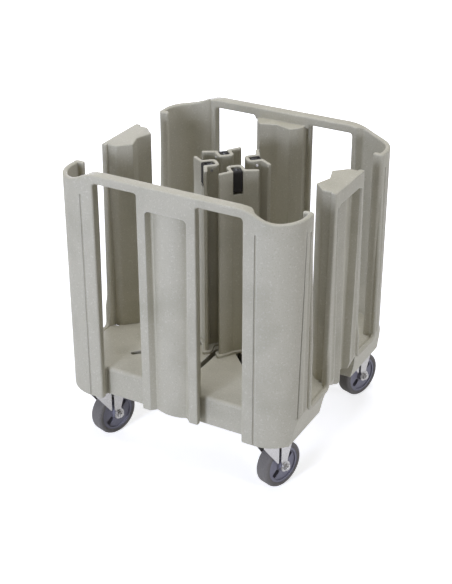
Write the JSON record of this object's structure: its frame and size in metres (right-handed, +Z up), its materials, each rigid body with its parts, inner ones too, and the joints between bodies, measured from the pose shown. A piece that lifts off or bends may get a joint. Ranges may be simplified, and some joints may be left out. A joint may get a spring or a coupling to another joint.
{
  "type": "plate dolly",
  "caption": "Wheeled plate dolly: moulded open-sided body with corner posts, rails and slotted deck, sliding tower dividers with clamp levers, swivel casters.",
  "frame": {"origin": "on the floor, under the centre of the moulded body", "axes": "+X to the right along the front rail, +Y to the rear, +Z up"},
  "size_m": [0.672, 0.6688, 0.806],
  "materials": {
    "body_plastic": "speckled satin",
    "black_plastic": "satin",
    "zinc": "bright zinc",
    "dark_steel": "dark plated",
    "hub_plastic": "satin",
    "tyre_rubber": "matt"
  },
  "bodies": {
    "frame": {"moulded_body": "body_plastic", "caster_bolts": "zinc", "caster_plate_front_left": "zinc", "caster_plate_front_right": "zinc", "caster_plate_rear_left": "zinc", "caster_plate_rear_right": "zinc"},
    "tower_front_left": {"tower_column_front_left": "body_plastic", "tower_foot_front_left": "body_plastic", "lever_pin_front_left": "zinc"},
    "lever_front_left": {"clamp_lever_front_left": "black_plastic"},
    "clamp_front_left": {"tie_rod_front_left": "dark_steel", "clamp_plate_front_left": "black_plastic", "clamp_nut_front_left": "zinc"},
    "swivel_front_left": {"caster_fork_front_left": "zinc", "axle_bolt_front_left": "zinc", "axle_nut_front_left": "zinc"},
    "wheel_front_left": {"wheel_hub_front_left": "hub_plastic", "tyre_front_left": "tyre_rubber"},
    "tower_front_right": {"tower_column_front_right": "body_plastic", "tower_foot_front_right": "body_plastic", "lever_pin_front_right": "zinc"},
    "lever_front_right": {"clamp_lever_front_right": "black_plastic"},
    "clamp_front_right": {"tie_rod_front_right": "dark_steel", "clamp_plate_front_right": "black_plastic", "clamp_nut_front_right": "zinc"},
    "swivel_front_right": {"caster_fork_front_right": "zinc", "axle_bolt_front_right": "zinc", "axle_nut_front_right": "zinc"},
    "wheel_front_right": {"wheel_hub_front_right": "hub_plastic", "tyre_front_right": "tyre_rubber"},
    "pedal_front_right": {"brake_pedal_front_right": "black_plastic"},
    "tower_rear_left": {"tower_column_rear_left": "body_plastic", "tower_foot_rear_left": "body_plastic", "lever_pin_rear_left": "zinc"},
    "lever_rear_left": {"clamp_lever_rear_left": "black_plastic"},
    "clamp_rear_left": {"tie_rod_rear_left": "dark_steel", "clamp_plate_rear_left": "black_plastic", "clamp_nut_rear_left": "zinc"},
    "swivel_rear_left": {"caster_fork_rear_left": "zinc", "axle_bolt_rear_left": "zinc", "axle_nut_rear_left": "zinc"},
    "wheel_rear_left": {"wheel_hub_rear_left": "hub_plastic", "tyre_rear_left": "tyre_rubber"},
    "tower_rear_right": {"tower_column_rear_right": "body_plastic", "tower_foot_rear_right": "body_plastic", "lever_pin_rear_right": "zinc"},
    "lever_rear_right": {"clamp_lever_rear_right": "black_plastic"},
    "clamp_rear_right": {"tie_rod_rear_right": "dark_steel", "clamp_plate_rear_right": "black_plastic", "clamp_nut_rear_right": "zinc"},
    "swivel_rear_right": {"caster_fork_rear_right": "zinc", "axle_bolt_rear_right": "zinc", "axle_nut_rear_right": "zinc"},
    "wheel_rear_right": {"wheel_hub_rear_right": "hub_plastic", "tyre_rear_right": "tyre_rubber"},
    "pedal_rear_right": {"brake_pedal_rear_right": "black_plastic"}
  },
  "joints": [
    {"name": "tower_front_left_slide", "type": "slide", "parent": "frame", "child": "tower_front_left", "axis": [-0.7071, -0.7071, 0], "range_m": [0, 0.208]},
    {"name": "lever_front_left_swing", "type": "hinge", "parent": "tower_front_left", "child": "lever_front_left", "pos_m": [-0.03889, -0.03889, 0.758], "axis": [-0.7071, 0.7071, 0], "range_deg": [0, 80.5]},
    {"name": "clamp_front_left_drop", "type": "slide", "parent": "tower_front_left", "child": "clamp_front_left", "axis": [0, 0, -1], "range_m": [0, 0.004]},
    {"name": "caster_front_left_swivel", "type": "hinge", "parent": "frame", "child": "swivel_front_left", "pos_m": [-0.254, -0.252, 0.15], "axis": [0, 0, 1], "continuous": true},
    {"name": "wheel_front_left_roll", "type": "hinge", "parent": "swivel_front_left", "child": "wheel_front_left", "pos_m": [-0.2438, -0.22062, 0.0635], "axis": [0.9511, -0.309, 0], "continuous": true},
    {"name": "tower_front_right_slide", "type": "slide", "parent": "frame", "child": "tower_front_right", "axis": [0.7071, -0.7071, 0], "range_m": [0, 0.208]},
    {"name": "lever_front_right_swing", "type": "hinge", "parent": "tower_front_right", "child": "lever_front_right", "pos_m": [0.03889, -0.03889, 0.758], "axis": [-0.7071, -0.7071, 0], "range_deg": [0, 80.5]},
    {"name": "clamp_front_right_drop", "type": "slide", "parent": "tower_front_right", "child": "clamp_front_right", "axis": [0, 0, -1], "range_m": [0, 0.004]},
    {"name": "caster_front_right_swivel", "type": "hinge", "parent": "frame", "child": "swivel_front_right", "pos_m": [0.254, -0.252, 0.15], "axis": [0, 0, 1], "continuous": true},
    {"name": "wheel_front_right_roll", "type": "hinge", "parent": "swivel_front_right", "child": "wheel_front_right", "pos_m": [0.2642, -0.22062, 0.0635], "axis": [0.9511, -0.309, 0], "continuous": true},
    {"name": "pedal_front_right_press", "type": "hinge", "parent": "swivel_front_right", "child": "pedal_front_right", "pos_m": [0.26234, -0.22632, 0.136], "axis": [0.9511, -0.309, 0], "range_deg": [0, 8]},
    {"name": "tower_rear_left_slide", "type": "slide", "parent": "frame", "child": "tower_rear_left", "axis": [-0.7071, 0.7071, 0], "range_m": [0, 0.208]},
    {"name": "lever_rear_left_swing", "type": "hinge", "parent": "tower_rear_left", "child": "lever_rear_left", "pos_m": [-0.03889, 0.03889, 0.758], "axis": [0.7071, 0.7071, 0], "range_deg": [0, 80.5]},
    {"name": "clamp_rear_left_drop", "type": "slide", "parent": "tower_rear_left", "child": "clamp_rear_left", "axis": [0, 0, -1], "range_m": [0, 0.004]},
    {"name": "caster_rear_left_swivel", "type": "hinge", "parent": "frame", "child": "swivel_rear_left", "pos_m": [-0.254, 0.252, 0.15], "axis": [0, 0, 1], "continuous": true},
    {"name": "wheel_rear_left_roll", "type": "hinge", "parent": "swivel_rear_left", "child": "wheel_rear_left", "pos_m": [-0.2438, 0.28338, 0.0635], "axis": [0.9511, -0.309, 0], "continuous": true},
    {"name": "tower_rear_right_slide", "type": "slide", "parent": "frame", "child": "tower_rear_right", "axis": [0.7071, 0.7071, 0], "range_m": [-0.01, 0.198]},
    {"name": "lever_rear_right_swing", "type": "hinge", "parent": "tower_rear_right", "child": "lever_rear_right", "pos_m": [0.04596, 0.04596, 0.758], "axis": [0.7071, -0.7071, 0], "range_deg": [0, 80.5]},
    {"name": "clamp_rear_right_drop", "type": "slide", "parent": "tower_rear_right", "child": "clamp_rear_right", "axis": [0, 0, -1], "range_m": [0, 0.004]},
    {"name": "caster_rear_right_swivel", "type": "hinge", "parent": "frame", "child": "swivel_rear_right", "pos_m": [0.254, 0.252, 0.15], "axis": [0, 0, 1], "continuous": true},
    {"name": "wheel_rear_right_roll", "type": "hinge", "parent": "swivel_rear_right", "child": "wheel_rear_right", "pos_m": [0.2642, 0.28338, 0.0635], "axis": [0.9511, -0.309, 0], "continuous": true},
    {"name": "pedal_rear_right_press", "type": "hinge", "parent": "swivel_rear_right", "child": "pedal_rear_right", "pos_m": [0.26234, 0.27768, 0.136], "axis": [0.9511, -0.309, 0], "range_deg": [0, 8]}
  ],
  "couplings": [
    {"joint": "lever_front_left_swing", "follows": "clamp_front_left_drop", "rad_per_m": 349.07},
    {"joint": "lever_front_right_swing", "follows": "clamp_front_right_drop", "rad_per_m": 349.07},
    {"joint": "lever_rear_left_swing", "follows": "clamp_rear_left_drop", "rad_per_m": 349.07},
    {"joint": "lever_rear_right_swing", "follows": "clamp_rear_right_drop", "rad_per_m": 349.07}
  ]
}
